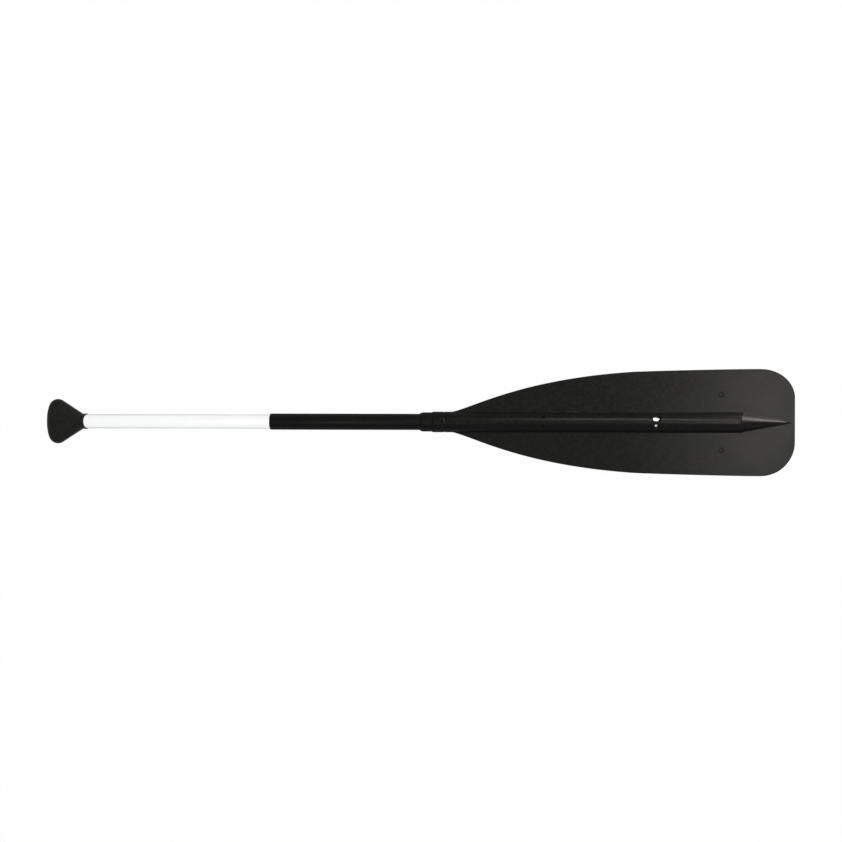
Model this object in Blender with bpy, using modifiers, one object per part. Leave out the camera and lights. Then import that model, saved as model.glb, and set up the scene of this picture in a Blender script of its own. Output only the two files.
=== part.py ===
"""Boat paddle: a palm grip and a plastic blade on one aluminium tube, with a soft sleeve for the lower hand.

The paddle lies flat. Its length runs along X, grip at -X and blade tip at +X, the blade's faces look up and
down, and the lowest point of the throat stands on Z = 0. Everything is in metres.
"""

import math

import bmesh
import bpy
import numpy as np

# Overall size
OVERALL_LENGTH = 1.524
FIT_GAP = 0.0003

# Shaft tube
TUBE_DIAMETER = 0.0286
TUBE_WALL = 0.0014

# Palm grip
GRIP_LENGTH = 0.0784
GRIP_SOLID_END = 0.0266
GRIP_NECK_LENGTH = 0.0078
GRIP_NECK_WALL = 0.0008
GRIP_MOUTH_WALL = 0.0016
FAN_WIDTH = 0.0906
FAN_WALL = 0.0024
FAN_CORNER_RADIUS = 0.0155
FAN_END_RADIUS = 0.105
FAN_SQUARENESS = 2.4

# Grip rivet, set from below
RIVET_TO_MOUTH = 0.030
RIVET_SHANK_DIAMETER = 0.0048
RIVET_HEAD_DIAMETER = 0.0095
RIVET_HEAD_HEIGHT = 0.0016
RIVET_TAIL_DIAMETER = 0.0070
RIVET_TAIL_LENGTH = 0.0050
RIVET_SEAT_DEPTH = 0.0008
RIVET_DOME_STEPS = 4

# Hand sleeve
SLEEVE_WALL = 0.0019
SLEEVE_LENGTH = 0.4004
SLEEVE_DEPTH_IN_BLADE = 0.045
SLEEVE_END_ROUND = 0.0010

# Throat ferrule
FERRULE_LENGTH = 0.0505
FERRULE_LIP_LENGTH = 0.0249
FERRULE_LIP_WALL = 0.0028
FERRULE_MOUTH_LENGTH = 0.0055
FERRULE_MOUTH_WALL = 0.0010
FERRULE_END_CHAMFER_LENGTH = 0.0030
FERRULE_END_CHAMFER_DEPTH = 0.0009

# Blade moulding
BLADE_LENGTH = 0.7142
BLADE_WIDTH = 0.2188
PLATE_THICKNESS = 0.0036
PLATE_EDGE_ROUND = 0.0013
EDGE_ROUND_LIMIT = 0.45
TIP_LEFT_CORNER_LENGTH = 0.069
TIP_LEFT_CORNER_WIDTH = 0.059
TIP_RIGHT_CORNER_LENGTH = 0.070
TIP_RIGHT_CORNER_WIDTH = 0.070
SHOULDER_TO_TIP = 0.331
SHOULDER_INSET = 0.0062
SHOULDER_SLOPE = 0.068
NECK_WALL = 0.0042
NECK_LENGTH = 0.014
NECK_CHAMFER = 0.0005
SPINE_WALL = 0.0058
SPINE_TAPER_LENGTH = 0.050
SPEAR_LENGTH = 0.101
SPEAR_TO_TIP = 0.006
SPEAR_SHOULDER_LEAN = 0.0135
SPEAR_ROOT_WALL = 0.0024
SPEAR_ROOT_SCALE = 0.95
SPEAR_SQUARENESS = 1.35

# Marks of the mould's tapered pins, large ones on the +Y side of the spine's crest and small ones on the -Y
# side: open slots near the tip and blind dimples near the neck. Lengths and widths are those of a pin's end
LARGE_PIN_OFFSET = 0.0070
LARGE_PIN_LENGTH = 0.0108
LARGE_PIN_WIDTH = 0.0064
SMALL_PIN_OFFSET = 0.0076
SMALL_PIN_LENGTH = 0.0062
SMALL_PIN_WIDTH = 0.0036
PIN_FLARE_DEGREES = 18
PIN_SLOT_TO_TIP = 0.2875
PIN_DIMPLE_TO_TIP = 0.515
PIN_DIMPLE_DEPTH = 0.0025

# Foam and end cap inside the tube
UPPER_FOAM_LENGTH = 0.090
UPPER_FOAM_TO_TUBE_END = 0.060
LOWER_FOAM_LENGTH = 0.240
END_CAP_FLANGE = 0.0020
END_CAP_PLUG_LENGTH = 0.016

# How far the blade's outline starts inside the neck
OUTLINE_START_DEPTH = 0.004
OUTLINE_START_INSET = 0.0015

# Bezier handles of the outline, as shares of the swell from neck to shoulder and of the run from there
NECK_HANDLE = 0.102
SHOULDER_BACK_HANDLE = 0.653
SHOULDER_AHEAD_HANDLE = 0.051
WIDEST_HANDLE = 0.304

# Facets round a turned or lofted section and round a small hole, rings in the grip, points along an outline
SIDES = 48
SMALL_SIDES = 20
ROUND_END_RINGS = 7
FAN_RINGS = 13
MOUTH_RINGS = 3
OUTLINE_POINTS = 14
CUTTER_REACH = 0.010

# Radii, from the tube outwards
TUBE_RADIUS = TUBE_DIAMETER / 2
TUBE_INNER_RADIUS = TUBE_RADIUS - TUBE_WALL
TUBE_BORE_RADIUS = TUBE_RADIUS + FIT_GAP
SLEEVE_RADIUS = TUBE_BORE_RADIUS + SLEEVE_WALL
SLEEVE_BORE_RADIUS = SLEEVE_RADIUS + FIT_GAP
NECK_RADIUS = SLEEVE_BORE_RADIUS + NECK_WALL
LIP_RADIUS = SLEEVE_BORE_RADIUS + FERRULE_LIP_WALL
SPINE_RADIUS = TUBE_BORE_RADIUS + SPINE_WALL
GRIP_NECK_RADIUS = TUBE_BORE_RADIUS + GRIP_NECK_WALL
GRIP_MOUTH_RADIUS = TUBE_BORE_RADIUS + GRIP_MOUTH_WALL
FAN_HALF_HEIGHT = TUBE_BORE_RADIUS + FAN_WALL

# Places along the paddle, and the height of the shaft's axis when the lowest flat facet lies on the floor
AXIS_Z = max(NECK_RADIUS, LIP_RADIUS, SPINE_RADIUS, FAN_HALF_HEIGHT) * math.cos(math.pi / SIDES)
TIP_X = OVERALL_LENGTH / 2
GRIP_END_X = -OVERALL_LENGTH / 2
MOUTH_X = GRIP_END_X + GRIP_LENGTH
TUBE_START_X = GRIP_END_X + GRIP_SOLID_END
SPEAR_END_X = TIP_X - SPEAR_TO_TIP
SPEAR_START_X = SPEAR_END_X - SPEAR_LENGTH
BLADE_BORE_END_X = SPEAR_START_X - SPEAR_SHOULDER_LEAN - SPEAR_ROOT_WALL
TUBE_END_X = BLADE_BORE_END_X - END_CAP_FLANGE - 2 * FIT_GAP
NECK_X = TIP_X - BLADE_LENGTH
SLEEVE_END_X = NECK_X + SLEEVE_DEPTH_IN_BLADE
SLEEVE_START_X = SLEEVE_END_X - SLEEVE_LENGTH
RIVET_X = MOUTH_X - RIVET_TO_MOUTH

parts = bpy.data.collections.new("boat_paddle")
cutters = bpy.data.collections.new("cutters")


def clear_scene():
    """Remove the objects that the new file starts with, and link the two collections."""
    for thing in list(bpy.data.objects):
        bpy.data.objects.remove(thing, do_unlink=True)
    for collection in (parts, cutters):
        bpy.context.scene.collection.children.link(collection)


def material(name, colour, roughness, metallic=0.0):
    """A plain Principled material with the piece's colour and finish."""
    made = bpy.data.materials.new(name)
    made.use_nodes = True
    shader = made.node_tree.nodes["Principled BSDF"]
    shader.inputs["Base Color"].default_value = (*colour, 1.0)
    shader.inputs["Roughness"].default_value = roughness
    shader.inputs["Metallic"].default_value = metallic
    return made


def add_part(name, mesh, finish):
    """Put a mesh into the parts collection under the sub-part's name."""
    made = bpy.data.objects.new(name, mesh)
    made.data.materials.append(finish)
    parts.objects.link(made)
    return made


def add_cutter(name, mesh):
    """Put a mesh into the cutters collection, drawn as wire and left out of the render."""
    made = bpy.data.objects.new(name, mesh)
    cutters.objects.link(made)
    made.hide_render = True
    made.display_type = "WIRE"
    return made


def smooth(thing, sharp_angle=35):
    """Shade a round piece smooth, with its corners kept sharp."""
    thing.data.shade_smooth()
    thing.data.set_sharp_from_angle(angle=math.radians(sharp_angle))


def profile_mesh(name, profile, closed, sides):
    """A wire of (along, radius) points, as a profile for the Screw modifier.

    It stands half a facet off +X, so that a flat facet of the turned piece faces the floor, and no corner.
    """
    mesh = bpy.data.meshes.new(name)
    edges = [(i, i + 1) for i in range(len(profile) - 1)]
    if closed:
        edges.append((len(profile) - 1, 0))
    c, s = math.cos(math.pi / sides), math.sin(math.pi / sides)
    mesh.from_pydata([(radius * c, radius * s, along) for along, radius in profile], edges, [])
    return mesh


def turn(thing, sides):
    """Turn a profile once round its own Z."""
    screw = thing.modifiers.new("turned", "SCREW")
    screw.axis = "Z"
    screw.angle = 2 * math.pi
    screw.steps = sides
    screw.render_steps = sides
    screw.use_merge_vertices = True
    screw.merge_threshold = 0.00001


def lay_along_shaft(thing):
    """Point a turned piece's own Z along the paddle's X, on the shaft's axis."""
    thing.rotation_euler = (0, math.pi / 2, 0)
    thing.location = (0, 0, AXIS_Z)


def turned_part(name, profile, finish, closed):
    """A sub-part turned about the shaft's axis from (x, radius) points, far end first."""
    made = add_part(name, profile_mesh(name, profile, closed, SIDES), finish)
    turn(made, SIDES)
    lay_along_shaft(made)
    smooth(made)
    return made


def turned_cutter(name, profile):
    """A cutter turned about the shaft's axis from (x, radius) points, far end first."""
    made = add_cutter(name, profile_mesh(name, profile, False, SIDES))
    turn(made, SIDES)
    lay_along_shaft(made)
    return made


def upright_cutter(name, x, y, first_z, last_z, length, width, flare=0.0):
    """An upright cutter between two heights, round or oval, with its length along X.

    The flare is how much further out its wall stands on every side at the last height than at the first.
    """
    angle = (np.arange(SMALL_SIDES) + 0.5) * 2 * math.pi / SMALL_SIDES
    rings = []
    for z, wider in ((first_z, 0.0), (last_z, flare)):
        ring_x = x + (length / 2 + wider) * np.cos(angle)
        ring_y = y + (width / 2 + wider) * np.sin(angle)
        rings.append([(*point, z) for point in zip(ring_x, ring_y)])
    return add_cutter(name, loft_mesh(name, rings))


def boolean(thing, other, operation):
    """Join another solid to this one, or cut it away."""
    step = thing.modifiers.new(other.name, "BOOLEAN")
    step.operation = operation
    step.solver = "EXACT"
    step.object = other


def superellipse(half_width, half_height, power):
    """Points round |y/a|^p + |z/b|^p = 1: a power of 2 is an ellipse, above it a pillow, near 1 a diamond.

    The first point stands half a facet off +Y, as on the turned pieces.
    """
    angle = (np.arange(SIDES) + 0.5) * 2 * math.pi / SIDES
    c, s = np.cos(angle), np.sin(angle)
    y = half_width * np.sign(c) * np.abs(c) ** (2 / power)
    z = half_height * np.sign(s) * np.abs(s) ** (2 / power)
    return y, z


def ring(x, y, z):
    """Points of one section, from its places along X and its offsets from the shaft's axis."""
    return list(zip(np.broadcast_to(x, y.shape), y, AXIS_Z + z))


def loft_mesh(name, rings):
    """A closed skin over rings with equal numbers of points, with a flat face on each end."""
    mesh = bpy.data.meshes.new(name)
    bm = bmesh.new()
    loops = [[bm.verts.new(point) for point in points] for points in rings]
    count = len(loops[0])
    for near, far in zip(loops, loops[1:]):
        for i in range(count):
            j = (i + 1) % count
            bm.faces.new((near[i], far[i], far[j], near[j]))
    bm.faces.new(loops[0])
    bm.faces.new(reversed(loops[-1]))
    bmesh.ops.recalc_face_normals(bm, faces=bm.faces)
    bm.to_mesh(mesh)
    bm.free()
    return mesh


def fan_half_width(from_end):
    """Half the grip's width, seen from above, at a distance from its end.

    The end is a shallow arc that runs into a round corner, a straight line leaves the corner for the neck,
    and the neck flares to the mouth.
    """
    corner_y = FAN_WIDTH / 2 - FAN_CORNER_RADIUS
    arc_reach = FAN_END_RADIUS - FAN_CORNER_RADIUS
    corner_x = FAN_END_RADIUS - math.sqrt(arc_reach**2 - corner_y**2)
    arc_end = FAN_END_RADIUS * (1 - math.sqrt(1 - (corner_y / arc_reach) ** 2))
    neck_x = GRIP_LENGTH - GRIP_NECK_LENGTH
    drop = corner_y - GRIP_NECK_RADIUS
    slope = math.atan2(drop, neck_x - corner_x)
    slope += math.asin(FAN_CORNER_RADIUS / math.hypot(neck_x - corner_x, drop))
    corner_end = corner_x + FAN_CORNER_RADIUS * math.sin(slope)
    if from_end < arc_end:
        return math.sqrt(FAN_END_RADIUS**2 - (FAN_END_RADIUS - from_end) ** 2)
    if from_end < corner_end:
        return corner_y + math.sqrt(FAN_CORNER_RADIUS**2 - (from_end - corner_x) ** 2)
    if from_end < neck_x:
        return GRIP_NECK_RADIUS + (neck_x - from_end) * math.tan(slope)
    flare = (from_end - neck_x) / GRIP_NECK_LENGTH
    return GRIP_NECK_RADIUS + (GRIP_MOUTH_RADIUS - GRIP_NECK_RADIUS) * flare**2


def fan_half_height(from_end):
    """Half the grip's thickness: fully round at its end, level in the middle, easing into the round neck."""
    if from_end < FAN_HALF_HEIGHT:
        return math.sqrt(FAN_HALF_HEIGHT**2 - (FAN_HALF_HEIGHT - from_end) ** 2)
    neck_x = GRIP_LENGTH - GRIP_NECK_LENGTH
    if from_end >= neck_x:
        return fan_half_width(from_end)
    share = (from_end - FAN_HALF_HEIGHT) / (neck_x - FAN_HALF_HEIGHT)
    ease = share * share * (3 - 2 * share)
    return FAN_HALF_HEIGHT + (GRIP_NECK_RADIUS - FAN_HALF_HEIGHT) * ease


def grip_ring_places():
    """Distances of the grip's rings from its end: close together where it rounds off, then even."""
    first_turn = 0.35
    turns = [(i + first_turn) / ROUND_END_RINGS * math.pi / 2 for i in range(ROUND_END_RINGS)]
    rounded = [FAN_HALF_HEIGHT * (1 - math.cos(turn_by)) for turn_by in turns]
    neck_x = GRIP_LENGTH - GRIP_NECK_LENGTH
    fan = list(np.linspace(FAN_HALF_HEIGHT, neck_x, FAN_RINGS))
    mouth = list(np.linspace(neck_x, GRIP_LENGTH, MOUTH_RINGS + 1))[1:]
    return rounded + fan + mouth


def rivet_seat_z():
    """Height of the flat on the grip's underside that the rivet's head bears on."""
    return AXIS_Z - fan_half_height(RIVET_X - GRIP_END_X) + RIVET_SEAT_DEPTH


def rivet_hole(name):
    """A cutter for the rivet's shank, through one wall of the tube and the grip."""
    across = RIVET_SHANK_DIAMETER + 2 * FIT_GAP
    return upright_cutter(name, RIVET_X, 0, -CUTTER_REACH, AXIS_Z - TUBE_INNER_RADIUS / 2, across, across)


def make_palm_grip(finish):
    """The fan-shaped palm grip, with a blind bore for the tube and a seat for the rivet underneath."""
    neck_x = GRIP_LENGTH - GRIP_NECK_LENGTH
    rings = []
    for from_end in grip_ring_places():
        flatness = max(0.0, 1 - from_end / neck_x)
        power = 2 + (FAN_SQUARENESS - 2) * flatness
        y, z = superellipse(fan_half_width(from_end), fan_half_height(from_end), power)
        rings.append(ring(GRIP_END_X + from_end, y, z))
    grip = add_part("palm_grip", loft_mesh("palm_grip", rings), finish)
    bore = turned_cutter(
        "grip_bore",
        [
            (MOUTH_X + CUTTER_REACH, 0),
            (MOUTH_X + CUTTER_REACH, TUBE_BORE_RADIUS),
            (TUBE_START_X - FIT_GAP, TUBE_BORE_RADIUS),
            (TUBE_START_X - FIT_GAP, 0),
        ],
    )
    boolean(grip, bore, "DIFFERENCE")
    boolean(grip, rivet_hole("grip_rivet_hole"), "DIFFERENCE")
    across = RIVET_HEAD_DIAMETER + 4 * FIT_GAP
    seat = upright_cutter("grip_rivet_seat", RIVET_X, 0, -CUTTER_REACH, rivet_seat_z(), across, across)
    boolean(grip, seat, "DIFFERENCE")
    smooth(grip)


def dome(height, radius, rise):
    """Profile points over a dome of elliptical section, from its middle out to its rim.

    The rise is negative for a dome that points down, whose points run from the rim in.
    """
    angles = np.linspace(math.pi / 2, 0, RIVET_DOME_STEPS + 1)
    points = [(height + rise * math.sin(angle), radius * math.cos(angle)) for angle in angles]
    points[0] = (height + rise, 0)
    return points if rise > 0 else points[::-1]


def make_grip_rivet(finish):
    """A blind rivet: domed head below, shank through grip and tube, and its upset tail inside the tube."""
    tail_seat = AXIS_Z - TUBE_INNER_RADIUS + 2 * FIT_GAP - rivet_seat_z()
    shank = RIVET_SHANK_DIAMETER / 2
    profile = dome(tail_seat, RIVET_TAIL_DIAMETER / 2, RIVET_TAIL_LENGTH)
    profile += [(tail_seat, shank), (-FIT_GAP, shank)]
    profile += dome(-FIT_GAP, RIVET_HEAD_DIAMETER / 2, -RIVET_HEAD_HEIGHT)
    rivet = add_part("grip_rivet", profile_mesh("grip_rivet", profile, False, SMALL_SIDES), finish)
    turn(rivet, SMALL_SIDES)
    rivet.location = (RIVET_X, 0, rivet_seat_z())
    smooth(rivet)


def make_shaft_tube(finish):
    """The drawn tube that carries everything, with one hole for the grip's rivet."""
    tube = turned_part(
        "shaft_tube",
        [
            (TUBE_END_X, TUBE_RADIUS),
            (TUBE_START_X, TUBE_RADIUS),
            (TUBE_START_X, TUBE_INNER_RADIUS),
            (TUBE_END_X, TUBE_INNER_RADIUS),
        ],
        finish,
        closed=True,
    )
    boolean(tube, rivet_hole("tube_rivet_hole"), "DIFFERENCE")


def make_hand_sleeve(finish):
    """The soft sleeve round the tube's lower half, with a rounded end, which runs into the blade's neck."""
    turned_part(
        "hand_sleeve",
        [
            (SLEEVE_END_X, SLEEVE_RADIUS),
            (SLEEVE_START_X + SLEEVE_END_ROUND, SLEEVE_RADIUS),
            (SLEEVE_START_X + SLEEVE_END_ROUND / 3, SLEEVE_RADIUS - SLEEVE_END_ROUND / 3),
            (SLEEVE_START_X, SLEEVE_RADIUS - SLEEVE_END_ROUND),
            (SLEEVE_START_X, TUBE_BORE_RADIUS),
            (SLEEVE_END_X, TUBE_BORE_RADIUS),
        ],
        finish,
        closed=True,
    )


def make_throat_ferrule(finish):
    """The stepped ring that closes the blade's neck round the sleeve."""
    end = NECK_X - FIT_GAP
    start = end - FERRULE_LENGTH
    lip_end = start + FERRULE_LIP_LENGTH
    turned_part(
        "throat_ferrule",
        [
            (end, NECK_RADIUS - FERRULE_END_CHAMFER_DEPTH),
            (end - FERRULE_END_CHAMFER_LENGTH, NECK_RADIUS),
            (lip_end + abs(NECK_RADIUS - LIP_RADIUS), NECK_RADIUS),
            (lip_end, LIP_RADIUS),
            (start + FERRULE_MOUTH_LENGTH, LIP_RADIUS),
            (start, SLEEVE_BORE_RADIUS + FERRULE_MOUTH_WALL),
            (start, SLEEVE_BORE_RADIUS),
            (end, SLEEVE_BORE_RADIUS),
        ],
        finish,
        closed=True,
    )


def blade_outline(corner_length, corner_width):
    """Bezier points along one edge of the blade: place, handle towards the neck, handle towards the tip.

    The edge leaves the neck level, swells to a shoulder, runs nearly straight and turns the round corner,
    which is a quarter of a circle or of an oval.
    """
    half = BLADE_WIDTH / 2
    quarter_handle = 4 / 3 * math.tan(math.pi / 8)
    start_x = NECK_X + OUTLINE_START_DEPTH
    start_y = NECK_RADIUS - OUTLINE_START_INSET
    shoulder_x = TIP_X - SHOULDER_TO_TIP
    shoulder_y = half - SHOULDER_INSET
    widest_x = TIP_X - corner_length
    corner_y = half - corner_width
    swell = shoulder_x - start_x
    run = widest_x - shoulder_x
    back = SHOULDER_BACK_HANDLE * swell
    ahead = SHOULDER_AHEAD_HANDLE * run
    start = [(start_x, start_y), (start_x, start_y), (start_x + NECK_HANDLE * swell, start_y)]
    shoulder = [
        (shoulder_x, shoulder_y),
        (shoulder_x - back, shoulder_y - back * SHOULDER_SLOPE),
        (shoulder_x + ahead, shoulder_y + ahead * SHOULDER_SLOPE),
    ]
    widest = [
        (widest_x, half),
        (widest_x - WIDEST_HANDLE * run, half),
        (widest_x + quarter_handle * corner_length, half),
    ]
    corner = [(TIP_X, corner_y), (TIP_X, corner_y + quarter_handle * corner_width), (TIP_X, corner_y)]
    return [start, shoulder, widest, corner]


def plate_mesh():
    """The blade's flat plate: the outline filled as a 2D curve and extruded by half its thickness.

    The tip's corner on the +Y side, left as seen from the grip, reaches less far across than the other.
    """
    points = blade_outline(TIP_LEFT_CORNER_LENGTH, TIP_LEFT_CORNER_WIDTH)
    for place, back, ahead in reversed(blade_outline(TIP_RIGHT_CORNER_LENGTH, TIP_RIGHT_CORNER_WIDTH)):
        points.append([(x, -y) for x, y in (place, ahead, back)])
    curve = bpy.data.curves.new("blade_outline", "CURVE")
    curve.dimensions = "2D"
    curve.fill_mode = "BOTH"
    curve.extrude = PLATE_THICKNESS / 2
    curve.resolution_u = OUTLINE_POINTS
    spline = curve.splines.new("BEZIER")
    spline.bezier_points.add(len(points) - 1)
    for bezier, (place, back, ahead) in zip(spline.bezier_points, points):
        bezier.co = (*place, 0)
        bezier.handle_left = (*back, 0)
        bezier.handle_right = (*ahead, 0)
    spline.use_cyclic_u = True
    guide = bpy.data.objects.new("blade_outline", curve)
    cutters.objects.link(guide)
    seen = guide.evaluated_get(bpy.context.evaluated_depsgraph_get())
    mesh = bpy.data.meshes.new_from_object(seen)
    bpy.data.objects.remove(guide, do_unlink=True)
    bm = bmesh.new()
    bm.from_mesh(mesh)
    bmesh.ops.remove_doubles(bm, verts=bm.verts, dist=0.00001)
    bmesh.ops.recalc_face_normals(bm, faces=bm.faces)
    bm.to_mesh(mesh)
    bm.free()
    return mesh


def spine_rings():
    """Rings for the blade's round spine: neck, taper, long cylinder, leaning shoulder and ridged spear."""
    rings = []
    straight = [
        (NECK_X, NECK_RADIUS - NECK_CHAMFER),
        (NECK_X + NECK_CHAMFER, NECK_RADIUS),
        (NECK_X + NECK_LENGTH, NECK_RADIUS),
        (NECK_X + NECK_LENGTH + SPINE_TAPER_LENGTH, SPINE_RADIUS),
        (SPEAR_START_X - 2 * SPEAR_SHOULDER_LEAN, SPINE_RADIUS),
    ]
    for x, radius in straight:
        rings.append(ring(x, *superellipse(radius, radius, 2)))
    # Each ring has its share of the spear's length, its size against the spine and its squareness: the
    # shoulder rounds over and turns into the ridged section within the first twentieth
    shoulder = [(0, 1, 2), (0.015, (1 + SPEAR_ROOT_SCALE) / 2, 1.8)]
    taper = [(share, SPEAR_ROOT_SCALE, SPEAR_SQUARENESS) for share in (0.045, 0.35, 0.7, 1)]
    buried = PLATE_THICKNESS / 4
    for share, scale, power in shoulder + taper:
        half = buried + (SPINE_RADIUS * scale - buried) * (1 - share)
        y, z = superellipse(half, half, power)
        lean = SPEAR_SHOULDER_LEAN * (1 - share) * np.abs(z) / SPINE_RADIUS
        rings.append(ring(SPEAR_START_X + share * SPEAR_LENGTH - lean, y, z))
    return rings


def pin_cutters(x, y, floor, length, width):
    """Cutters for one pin's marks on both faces, which flare outwards from a floor above the shaft's axis."""
    reach = SPINE_RADIUS + CUTTER_REACH
    flare = (reach - floor) * math.tan(math.radians(PIN_FLARE_DEGREES))
    heights = [(AXIS_Z + face * floor, AXIS_Z + face * reach) for face in (-1, 1)]
    return [upright_cutter("pin_mark", x, y, *ends, length, width, flare) for ends in heights]


def cut_pin_marks(blade):
    """Cut what the mould's pins left on both faces: slots right down to the tube, and blind dimples."""
    pins = [
        (LARGE_PIN_OFFSET, LARGE_PIN_LENGTH, LARGE_PIN_WIDTH),
        (-SMALL_PIN_OFFSET, SMALL_PIN_LENGTH, SMALL_PIN_WIDTH),
    ]
    for y, length, width in pins:
        slot_floor = math.sqrt(TUBE_BORE_RADIUS**2 - (abs(y) + width / 2) ** 2) - FIT_GAP
        dimple_floor = math.sqrt(SPINE_RADIUS**2 - y**2) - PIN_DIMPLE_DEPTH
        marks = pin_cutters(TIP_X - PIN_SLOT_TO_TIP, y, slot_floor, length, width)
        marks += pin_cutters(TIP_X - PIN_DIMPLE_TO_TIP, y, dimple_floor, length, width)
        for mark in marks:
            boolean(blade, mark, "DIFFERENCE")


def make_paddle_blade(finish):
    """The blade moulding: a plate joined to the round spine, bored for the tube and the sleeve."""
    blade = add_part("paddle_blade", plate_mesh(), finish)
    blade.location = (0, 0, AXIS_Z)
    edge = blade.modifiers.new("rounded_edge", "BEVEL")
    edge.width = min(PLATE_EDGE_ROUND, PLATE_THICKNESS * EDGE_ROUND_LIMIT)
    edge.segments = 2
    edge.limit_method = "ANGLE"
    edge.angle_limit = math.radians(60)
    boolean(blade, add_cutter("blade_spine", loft_mesh("blade_spine", spine_rings())), "UNION")
    bore = turned_cutter(
        "blade_bore",
        [
            (BLADE_BORE_END_X, 0),
            (BLADE_BORE_END_X, TUBE_BORE_RADIUS),
            (SLEEVE_END_X + FIT_GAP, TUBE_BORE_RADIUS),
            (SLEEVE_END_X + FIT_GAP, SLEEVE_BORE_RADIUS),
            (NECK_X - CUTTER_REACH, SLEEVE_BORE_RADIUS),
            (NECK_X - CUTTER_REACH, 0),
        ],
    )
    boolean(blade, bore, "DIFFERENCE")
    cut_pin_marks(blade)
    smooth(blade)


def make_foam_plug(name, start, length, finish):
    """A closed-cell foam plug inside the tube, which keeps water out and the paddle afloat."""
    radius = TUBE_INNER_RADIUS - FIT_GAP
    profile = [(start + length, 0), (start + length, radius), (start, radius), (start, 0)]
    turned_part(name, profile, finish, closed=False)


def make_end_cap(finish):
    """The cap in the tube's blade end, which keeps the moulding's melt, and later water, out of the tube."""
    plug = TUBE_INNER_RADIUS - FIT_GAP
    face = TUBE_END_X + FIT_GAP
    turned_part(
        "shaft_end_cap",
        [
            (face + END_CAP_FLANGE, 0),
            (face + END_CAP_FLANGE, TUBE_RADIUS),
            (face, TUBE_RADIUS),
            (face, plug),
            (face - END_CAP_PLUG_LENGTH, plug),
            (face - END_CAP_PLUG_LENGTH, 0),
        ],
        finish,
        closed=False,
    )


def main():
    """Make every sub-part of the paddle."""
    clear_scene()
    black_plastic = material("black_moulded_plastic", (0.018, 0.018, 0.018), 0.5)
    black_vinyl = material("black_vinyl", (0.012, 0.012, 0.012), 0.6)
    aluminium = material("satin_aluminium", (0.91, 0.92, 0.92), 0.3, 1.0)
    foam = material("white_foam", (0.85, 0.85, 0.82), 0.9)
    cap_plastic = material("grey_cap_plastic", (0.25, 0.25, 0.26), 0.5)
    make_palm_grip(black_plastic)
    make_grip_rivet(aluminium)
    make_shaft_tube(aluminium)
    make_hand_sleeve(black_vinyl)
    make_throat_ferrule(black_plastic)
    make_paddle_blade(black_plastic)
    make_end_cap(cap_plastic)
    make_foam_plug("upper_foam_plug", TUBE_START_X + UPPER_FOAM_TO_TUBE_END, UPPER_FOAM_LENGTH, foam)
    lower_start = TUBE_END_X - END_CAP_PLUG_LENGTH - LOWER_FOAM_LENGTH
    make_foam_plug("lower_foam_plug", lower_start, LOWER_FOAM_LENGTH, foam)


main()
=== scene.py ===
# %% [markdown]
# # A boat paddle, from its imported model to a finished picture
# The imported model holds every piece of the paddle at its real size, as plain faceted solids. This
# lesson dresses it: finer meshes stand for the pieces that show, and every piece gets a finish built
# from nodes. We load the model first, because all places below are worked out from it.

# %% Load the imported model
import math

import bmesh
import bpy
import numpy as np
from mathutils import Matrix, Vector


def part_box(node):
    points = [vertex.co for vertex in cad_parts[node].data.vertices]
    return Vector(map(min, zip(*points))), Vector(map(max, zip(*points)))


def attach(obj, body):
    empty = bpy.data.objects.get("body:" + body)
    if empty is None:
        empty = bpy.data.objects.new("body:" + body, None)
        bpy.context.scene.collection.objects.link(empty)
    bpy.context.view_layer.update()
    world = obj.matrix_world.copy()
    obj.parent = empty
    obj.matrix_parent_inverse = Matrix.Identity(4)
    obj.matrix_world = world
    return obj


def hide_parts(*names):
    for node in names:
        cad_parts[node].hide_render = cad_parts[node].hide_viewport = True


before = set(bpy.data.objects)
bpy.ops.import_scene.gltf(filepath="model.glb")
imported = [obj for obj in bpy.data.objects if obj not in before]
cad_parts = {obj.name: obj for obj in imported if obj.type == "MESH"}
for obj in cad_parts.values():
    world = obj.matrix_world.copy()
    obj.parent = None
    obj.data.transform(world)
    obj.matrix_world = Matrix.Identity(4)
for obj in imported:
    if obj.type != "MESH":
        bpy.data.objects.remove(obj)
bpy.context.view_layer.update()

# %% [markdown]
# ## What we need from Python
# Shapes are worked out as numpy arrays, and `bmesh` closes and orients the finished meshes.

# %% [markdown]
# ## Sizes that the pieces share
# The solids are turned with 48 flat sides, and a flat side faces the floor. The distance between two
# opposite flats is the true diameter times the cosine of half a side's angle, so we can get each
# round piece's true radius back from its box. Places along the paddle come from the same boxes.

# %% Radii and places from the imported model
CAD_SIDES = 48
FIT_GAP = 0.0003
MILLIMETRE = 0.001


def true_radius(node):
    """Radius of a turned piece: half its box's height over the cosine of half a side's angle."""
    low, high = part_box(node)
    return (high.z - low.z) / 2 / math.cos(math.pi / CAD_SIDES)


def along(node):
    """Where a piece starts and ends along the paddle."""
    low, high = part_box(node)
    return low.x, high.x


AXIS_Z = sum(corner.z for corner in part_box("shaft_tube")) / 2
tube_radius = true_radius("shaft_tube")
sleeve_radius = true_radius("hand_sleeve")
neck_radius = true_radius("throat_ferrule")
tube_start, tube_end = along("shaft_tube")
sleeve_start, sleeve_end = along("hand_sleeve")
ferrule_start, ferrule_end = along("throat_ferrule")
blade_start, blade_tip = along("paddle_blade")
grip_end, grip_mouth = along("palm_grip")
tube_bore = tube_radius + FIT_GAP
sleeve_bore = sleeve_radius + FIT_GAP
for name, radius in (("tube", tube_radius), ("sleeve", sleeve_radius), ("neck", neck_radius)):
    print(name, "radius", round(radius, 5))

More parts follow.
